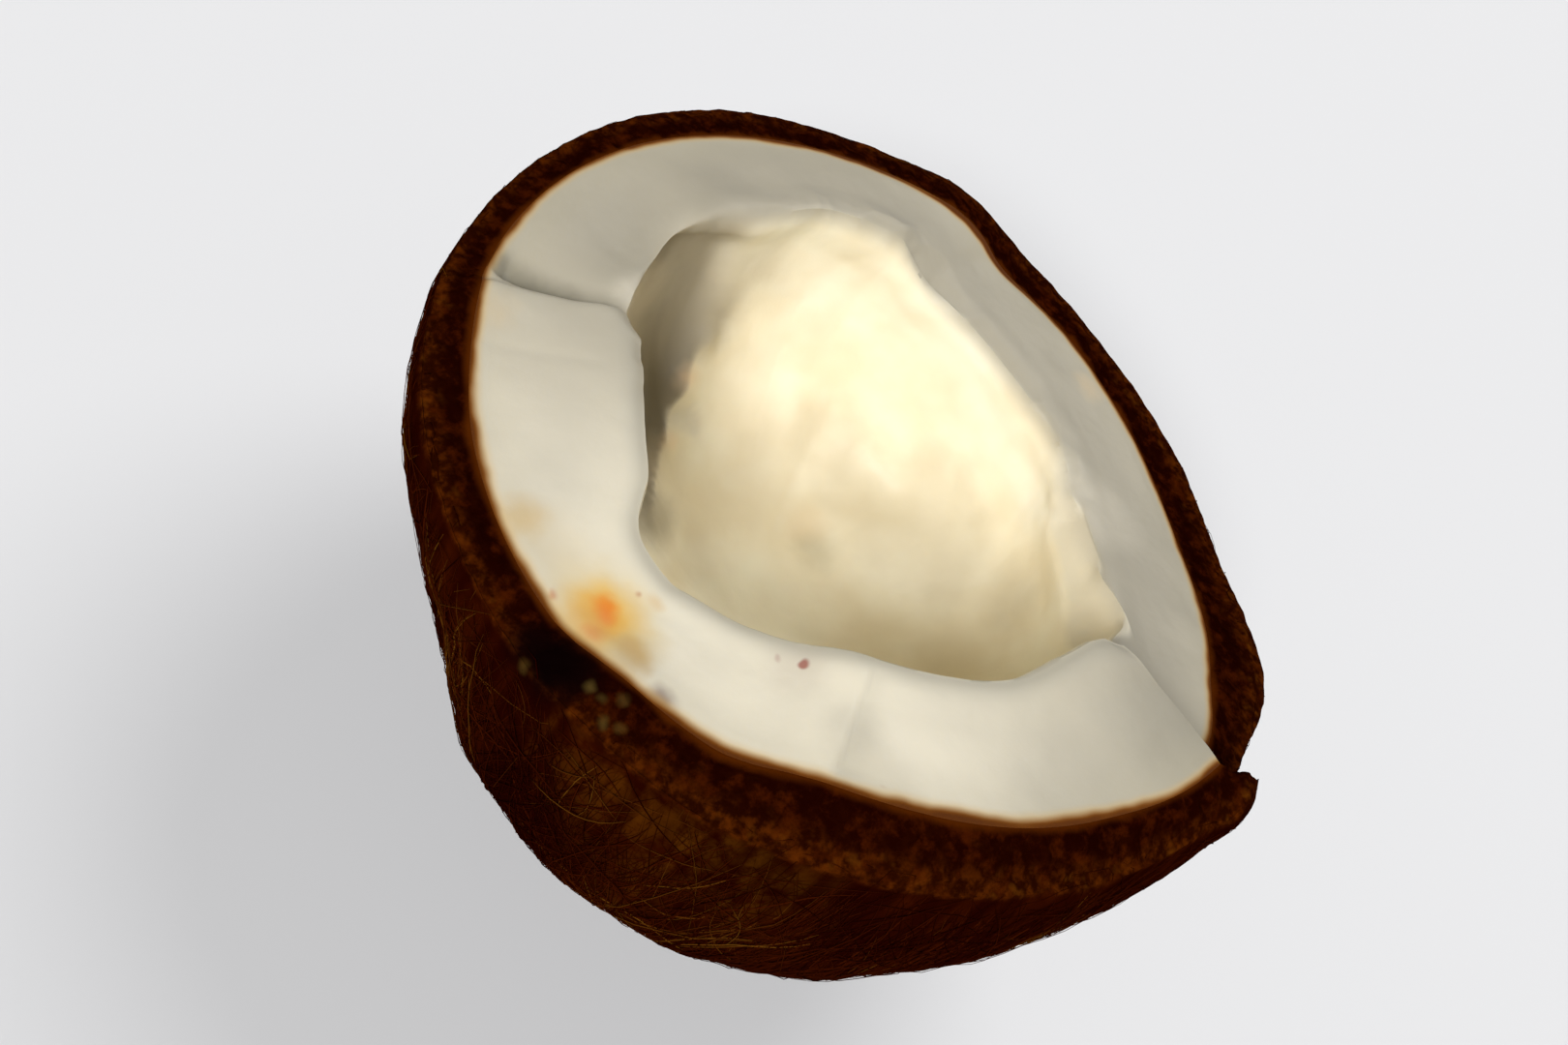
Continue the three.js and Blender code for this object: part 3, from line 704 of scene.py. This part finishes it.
def fibre(surface):
    """Coats of fibre: one along the nut, a looser one that crosses it, and one of finer stray hairs."""
    rng = np.random.default_rng(SEED)
    usual, by_patch, by_strand = FIBRE_TONE
    coats = []
    for name, count, points, lengths, leans, lift, girth in FIBRE_COATS:
        paths = strand_paths(surface, rng, count, points, lengths, leans, lift)
        middle = paths[:, points // 2]
        tone = usual + by_patch * octaves(middle, FIBRE_PATCH, 41, 2) + rng.normal(0, by_strand, count)
        for patch, inner, outer, _, _ in WARM_PATCHES:
            gap = np.linalg.norm(middle - np.array(patch) * MM, axis=1) / MM
            tone += FIBRE_WARMTH * rise(gap, outer, inner)
        radii = rng.uniform(*girth, count)
        coats.append(strand_mesh(name, paths, radii, np.clip(tone, 0, 1)))
    return coats


# ---------------------------------------------------------------- kernel

def creases(grid):
    """The depth in mm of the creases across the face."""
    total = np.zeros(grid.shape[:2])
    for (x0, y0), (x1, y1), bow, left, right, depths in FACE_CREASES:
        start, line = np.array([x0, y0]) * MM, np.array([x1 - x0, y1 - y0]) * MM
        reach = ((grid[..., :2] - start) @ line) / (line @ line)
        aside = (grid[..., 0] - start[0]) * line[1] - (grid[..., 1] - start[1]) * line[0]
        aside = aside / np.linalg.norm(line) / MM - 4 * bow * reach * (1 - reach)
        width = np.where(aside > 0, np.interp(reach, (0, 1), left), np.interp(reach, (0, 1), right))
        deep = np.interp(reach, (0, 1), depths)
        ends = rise(reach, -0.1, 0.1) * (1 - rise(reach, 0.9, 1.1))
        total += ends * deep * np.exp(-(aside / width) ** 2)
    return total


def kernel_skin():
    """The kernel's skin, with the relief of its broken face, of the lip and of the hollow."""
    rings = packed_rings("kernel")
    azimuths = rings[KERNEL_SEAM_RING][:, 0]
    wanted = azimuths[0] + np.arange(COLUMNS) * FULL_TURN / COLUMNS
    rings = round_curve(azimuths, rings, wanted)
    outside = down_curve(rings[:KERNEL_SEAM_RING + 1], KERNEL_ROWS["outside"], mirror_start=True)
    face = down_curve(rings[KERNEL_SEAM_RING:KERNEL_LIP_RING + 1], KERNEL_ROWS["face"])
    hollow = down_curve(rings[KERNEL_LIP_RING:], KERNEL_ROWS["hollow"], mirror_end=True)
    grid = cartesian(np.concatenate([outside, face[1:], hollow[1:]]))
    seam = len(outside) - 1
    lip = seam + len(face) - 1
    rows = np.arange(len(grid), dtype=float)[:, None] * np.ones(COLUMNS)
    down = lengths_down(grid)
    from_seam = np.where(rows < seam, 0, down - down[seam])
    into_hollow = down - down[lip]

    azimuth = np.degrees(np.arctan2(grid[..., 1], grid[..., 0])) % FULL_TURN
    on_face = rise(from_seam, 0, 2.5 * MM) * (1 - rise(into_hollow, -3 * MM, 0))
    in_hollow = rise(into_hollow, -1 * MM, 6 * MM)
    height = on_face * relief(grid, FACE_RELIEF) + in_hollow * relief(grid, HOLLOW_RELIEF)
    height -= in_hollow * flaked(grid, HOLLOW_FLAKES)
    # The lip broke off in small chips, but for the near side, where it is worn smooth.
    chipped = np.interp(azimuth, *zip(*LIP_CHIPPING))
    near_lip = np.exp(-((into_hollow + 0.3 * MM) / (2.6 * MM)) ** 2)
    height += chipped * near_lip * (flaked(grid, LIP_FLAKES) - LIP_SINK)
    # On one side the break runs on down the wall of the hollow, as far as a ridge.
    beyond = azimuth - np.interp(grid[..., 2] / MM, *zip(*WALL_RIDGE))
    softness = np.interp(grid[..., 2] / MM, (34, 50), (2, 12))
    broken_wall = rise(beyond, 0, softness) * (1 - rise(azimuth, *WALL_FAR_END))
    broken_wall *= rise(grid[..., 2] / MM, *WALL_FOOT)
    height -= WALL_DEPTH * broken_wall * rise(beyond, 0, 9.0) * rise(into_hollow, 0, 7 * MM)
    broken_wall *= rise(into_hollow, -2.5 * MM, 1.5 * MM)
    upright = np.stack([azimuth * 0.6 * MM, 0 * azimuth, grid[..., 2]], -1)
    height += broken_wall * relief(upright, WALL_RELIEF, 1)
    height -= rise(from_seam, 0, 2.5 * MM) * (dips(grid, DIPS) + dips(grid, CHIPS, crisp=True))
    crease = on_face * creases(grid)
    height -= crease * MM
    grid = grid + normals(grid) * height[..., None]
    (start, worn, still, end), width, spread = WORN_LIP
    share = rise(azimuth, start, worn) * (1 - rise(azimuth, still, end))
    share *= np.exp(-(into_hollow / spread) ** 2)
    grid += share[..., None] * (smoothed(grid, width, axis=0) - grid)
    grid, removed = faceted(grid, FACETS)
    reach = np.interp(azimuth, *zip(*SKIN_REACH))
    fields = {"from_seam": np.maximum(from_seam / MM - reach, 0), "chip": rise(removed, 0.1 * MM, 0.8 * MM),
              "into_hollow": into_hollow / MM, "broken_wall": broken_wall, "crease": crease}
    return skin("kernel_skin", grid, fields)


# ---------------------------------------------------------------- materials

def shader(name, roughness, specular):
    """A new material, its node tree and its surface shader."""
    material = bpy.data.materials.new(name)
    material.use_nodes = True
    tree = material.node_tree
    surface = tree.nodes["Principled BSDF"]
    surface.inputs["Roughness"].default_value = roughness
    surface.inputs["Specular IOR Level"].default_value = specular
    return material, tree, surface


def put(tree, value, socket):
    """A socket takes a link or a plain value."""
    if isinstance(value, bpy.types.NodeSocket):
        tree.links.new(value, socket)
    else:
        socket.default_value = value


def node(tree, kind, inputs=None, **settings):
    """A new node with the given settings; its inputs are given by name or number."""
    made = tree.nodes.new(kind)
    for key, value in settings.items():
        setattr(made, key, value)
    for key, value in (inputs or {}).items():
        put(tree, value, made.inputs[key])
    return made


def mix(tree, share, first, second):
    """The first colour, with the given share of the second over it."""
    made = node(tree, "ShaderNodeMix", {0: share, 6: first, 7: second}, data_type="RGBA")
    return made.outputs[2]


def attribute(tree, name):
    """A field that the mesh carries."""
    return node(tree, "ShaderNodeAttribute", attribute_name=name).outputs["Fac"]


def ranged(tree, value, low, high, start=0.0, end=1.0):
    """The value from low to high brought smoothly to start to end, and held beyond them."""
    made = node(tree, "ShaderNodeMapRange", {"Value": value, "From Min": low, "From Max": high,
                                             "To Min": start, "To Max": end},
                interpolation_type="SMOOTHSTEP")
    return made.outputs["Result"]


def grain(tree, place, scale, detail=3.0, roughness=0.55):
    """A random texture from 0 to 1, finer as the scale goes up."""
    return node(tree, "ShaderNodeTexNoise", {"Vector": place, "Scale": scale, "Detail": detail,
                                             "Roughness": roughness}).outputs["Fac"]


def times(tree, first, second):
    """The product of two values."""
    return node(tree, "ShaderNodeMath", {0: first, 1: second}, operation="MULTIPLY").outputs[0]


def plus(tree, first, second):
    """The sum of two values."""
    return node(tree, "ShaderNodeMath", {0: first, 1: second}, operation="ADD").outputs[0]


def bumped(tree, surface, place, texture, strength, distance):
    """Gives the surface a fine grain."""
    bump = node(tree, "ShaderNodeBump", {"Height": grain(tree, place, *texture), "Strength": strength,
                                         "Distance": distance})
    tree.links.new(bump.outputs["Normal"], surface.inputs["Normal"])


def wobbled(tree, place, scale, reach):
    """Places pushed about by up to reach, so that what is drawn on them has natural outlines."""
    cloud = node(tree, "ShaderNodeTexNoise", {"Vector": place, "Scale": scale, "Detail": 2.0})
    centred = node(tree, "ShaderNodeVectorMath", {0: cloud.outputs["Color"], 1: (0.5, 0.5, 0.5)},
                   operation="SUBTRACT")
    push = node(tree, "ShaderNodeVectorMath", {0: centred.outputs[0], "Scale": 2 * reach},
                operation="SCALE")
    return node(tree, "ShaderNodeVectorMath", {0: place, 1: push.outputs[0]}, operation="ADD").outputs[0]


def spotted(tree, colour, place, spots):
    """The colour with soft round spots of stain, or of painted light and shade: each has its place and
    inner and outer radius in mm, how much it covers, and its colour."""
    for spot, inner, outer, cover, tint in spots:
        gap = node(tree, "ShaderNodeVectorMath", {0: place, 1: Vector(spot) * MM}, operation="DISTANCE")
        share = ranged(tree, gap.outputs["Value"], inner * MM, outer * MM, cover, 0.0)
        colour = mix(tree, share, colour, (*tint, 1))
    return colour


def flesh_material():
    """White, cream in the hollow, stained and brown at the seam, with painted shade on the far side, along
    the near lip, in the creases, on the broken wall and towards the outer edge, and spots of painted light
    and shade.
    """
    material, tree, surface = shader("coconut_flesh", *FLESH_GLOSS)
    place = node(tree, "ShaderNodeTexCoord").outputs["Object"]
    white = mix(tree, grain(tree, place, 60.0), (*FLESH_WHITE[0], 1), (*FLESH_WHITE[1], 1))
    cream = mix(tree, ranged(tree, grain(tree, place, 55.0, 3.0), 0.3, 0.7), (*HOLLOW_CREAM[0], 1),
                (*HOLLOW_CREAM[1], 1))
    # Painted shade: the flesh is made greyer on the far side of the half and along the near lip.
    across = node(tree, "ShaderNodeSeparateXYZ", {0: wobbled(tree, place, 40.0, 8 * MM)}).outputs["Y"]
    white = mix(tree, ranged(tree, across, -40 * MM, -4 * MM, 0.0, FAR_SHADE_COVER), white, (*FAR_SIDE_SHADE, 1))
    into_hollow = attribute(tree, "into_hollow")
    # Painted shade along the near lip.
    lip = times(tree, ranged(tree, into_hollow, -3.5, 0.3),
                ranged(tree, across, -2 * MM, 8 * MM, LIP_COVER, 0.0))
    white = mix(tree, lip, white, (*LIP_SHADE, 1))
    # Painted shade in the creases of the face.
    white = mix(tree, ranged(tree, attribute(tree, "crease"), 0.15, 1.4, 0.0, CREASE_COVER), white,
                (*CREASE_SHADE, 1))
    colour = mix(tree, ranged(tree, into_hollow, -1.0, 3.5), white, cream)
    # Painted shade on the broken wall of the hollow.
    colour = mix(tree, attribute(tree, "broken_wall"), colour, (*WALL_SHADE, 1))
    colour = mix(tree, times(tree, attribute(tree, "chip"), 0.6), colour, (*CHIP_WHITE, 1))
    colour = spotted(tree, colour, wobbled(tree, place, 260.0, 1.3 * MM), STAINS_AND_PAINTED_SHADING)
    from_seam = attribute(tree, "from_seam")
    uneven = ranged(tree, grain(tree, place, 130.0, 2.0), 0.25, 0.75, -0.35, 0.35)
    # Painted shade, darker towards the outer edge of the face.
    colour = mix(tree, ranged(tree, from_seam, 0.5, 7.0, 0.35, 0.0), colour, (*EDGE_SHADE, 1))
    widened = ranged(tree, across, -40 * MM, -10 * MM, 1.4, 1.8)
    depth = plus(tree, times(tree, from_seam, widened), uneven)
    for full, end, cover, tint in SKIN_TINTS:
        colour = mix(tree, ranged(tree, depth, full, end, cover, 0.0), colour, (*tint, 1))
    tree.links.new(colour, surface.inputs["Base Color"])
    # The flesh is moist, the skin at its edge dull.
    roughness = ranged(tree, depth, 0.8, 2.6, SKIN_ROUGHNESS, FLESH_GLOSS[0])
    tree.links.new(roughness, surface.inputs["Roughness"])
    weight, scale, radii = FLESH_SUBSURFACE
    surface.inputs["Subsurface Weight"].default_value = weight
    surface.inputs["Subsurface Radius"].default_value = radii
    surface.inputs["Subsurface Scale"].default_value = scale
    bumped(tree, surface, place, *FLESH_GRAIN)
    return material


def shell_material():
    """Dark streaks outside; the break is mottled, lighter towards its outer edge and rusty at the seam."""
    material, tree, surface = shader("coconut_shell", *SHELL_GLOSS)
    place = node(tree, "ShaderNodeTexCoord").outputs["Object"]
    patches = ranged(tree, grain(tree, place, 90.0, 4.0), 0.35, 0.7)
    streaks = ranged(tree, attribute(tree, "streak"), 0.1, 1.0, 0.15, 1.0)
    outside = mix(tree, times(tree, patches, streaks), (*SHELL_DARK, 1), (*SHELL_WARM, 1))
    warm = spotted(tree, outside, wobbled(tree, place, 120.0, 3 * MM), WARM_PATCHES)
    fine = ranged(tree, grain(tree, place, 260.0, 4.0, 0.65), 0.38, 0.62)
    outside = mix(tree, times(tree, fine, streaks), outside, warm)
    from_seam, across = attribute(tree, "from_seam"), attribute(tree, "across")
    broken = mix(tree, ranged(tree, grain(tree, place, 450.0, 4.0, 0.65), 0.45, 0.72), (*BREAK_DARK, 1),
                 (*BREAK_WARM, 1))
    flecks = ranged(tree, grain(tree, place, 700.0, 3.0, 0.6), 0.42, 0.72, 0.1, 1.0)
    outer = times(tree, ranged(tree, across, 0.45, 0.9, 0.06, 0.9),
                  ranged(tree, across, 1.0, 1.25, 1.0, 0.0))
    broken = mix(tree, times(tree, flecks, outer), broken, (*BREAK_FLECK, 1))
    pale = ranged(tree, grain(tree, place, 500.0, 2.0), 0.58, 0.85)
    broken = mix(tree, times(tree, pale, outer), broken, (*BREAK_PALE, 1))
    uneven = ranged(tree, grain(tree, place, 130.0, 2.0), 0.25, 0.75, -0.3, 0.3)
    broken = mix(tree, ranged(tree, plus(tree, from_seam, uneven), -0.1, 1.1, 1.0, 0.0), broken,
                 (*SEAM_RUST, 1))
    colour = mix(tree, attribute(tree, "on_break"), outside, broken)
    colour = spotted(tree, colour, wobbled(tree, place, 300.0, 0.8 * MM), SHELL_SPOTS)
    tree.links.new(colour, surface.inputs["Base Color"])
    bumped(tree, surface, place, *SHELL_GRAIN)
    return material


def fibre_material():
    """Dark brown to gold, by the strand's tone."""
    material, tree, surface = shader("coconut_fibre", *FIBRE_GLOSS)
    tone = attribute(tree, "tone")
    colour = mix(tree, ranged(tree, tone, 0.1, 0.65), (*FIBRE_DARK, 1), (*FIBRE_BROWN, 1))
    colour = mix(tree, ranged(tree, tone, 0.68, 1.0), colour, (*FIBRE_GOLD, 1))
    tree.links.new(colour, surface.inputs["Base Color"])
    return material


# ---------------------------------------------------------------- assembly

def dress(piece, material, node_name=None):
    """Hands a piece to the frame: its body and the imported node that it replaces, if any."""
    piece.data.materials.append(material)
    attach(piece, "root")
    if node_name:
        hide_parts(node_name)


def camera():
    """The camera of the photograph."""
    data = bpy.data.cameras.new("camera")
    data.lens = CAMERA_LENS
    data.sensor_width = CAMERA_SENSOR
    data.clip_start = CAMERA_CLIP_START
    rig = bpy.data.objects.new("camera", data)
    view = (Vector(CAMERA_TARGET) - Vector(CAMERA_PLACE)).normalized()
    level = view.to_track_quat("-Z", "Y").to_matrix().to_4x4()
    roll = Matrix.Rotation(math.radians(CAMERA_ROLL), 4, "Z")
    rig.matrix_world = Matrix.Translation(CAMERA_PLACE) @ level @ roll
    bpy.context.scene.collection.objects.link(rig)
    bpy.context.scene.camera = rig


def light(name, azimuth, elevation, width, strength):
    """A soft even light from the given direction, as wide as a disc that fills so many degrees."""
    turn, climb = math.radians(azimuth), math.radians(elevation)
    ray = Vector((math.cos(climb) * math.cos(turn), math.cos(climb) * math.sin(turn), math.sin(climb)))
    data = bpy.data.lights.new(name, "SUN")
    data.angle = math.radians(width)
    data.energy = strength
    rig = bpy.data.objects.new(name, data)
    rig.matrix_world = Matrix.Translation(ray) @ (-ray).to_track_quat("-Z", "Y").to_matrix().to_4x4()
    bpy.context.scene.collection.objects.link(rig)


def studio():
    """The sky, the lights and the white floor."""
    world = bpy.data.worlds.new("studio")
    world.use_nodes = True
    tree = world.node_tree
    direction = node(tree, "ShaderNodeTexCoord").outputs["Generated"]
    height = node(tree, "ShaderNodeSeparateXYZ", {0: direction}).outputs["Z"]
    strength = ranged(tree, height, *SKY_HEIGHTS, SKY_PALE, SKY_DIM)
    tree.links.new(strength, tree.nodes["Background"].inputs["Strength"])
    tree.nodes["Background"].inputs["Color"].default_value = (1, 1, 1, 1)
    bpy.context.scene.world = world
    for name, azimuth, elevation, width, strength in LIGHTS:
        light(name, azimuth, elevation, width, strength)
    bpy.ops.mesh.primitive_plane_add(size=FLOOR_SIZE)
    floor = bpy.context.object
    floor.name = "floor"
    material, _, surface = shader("floor_white", *FLOOR_GLOSS)
    surface.inputs["Base Color"].default_value = FLOOR_COLOUR
    floor.data.materials.append(material)


camera()
studio()
bpy.context.scene.view_settings.view_transform = "Standard"
shell, outside = shell_skin()
dress(shell, shell_material(), "shell")
hair = fibre_material()
for coat in fibre(outside):
    dress(coat, hair)
dress(kernel_skin(), flesh_material(), "kernel")
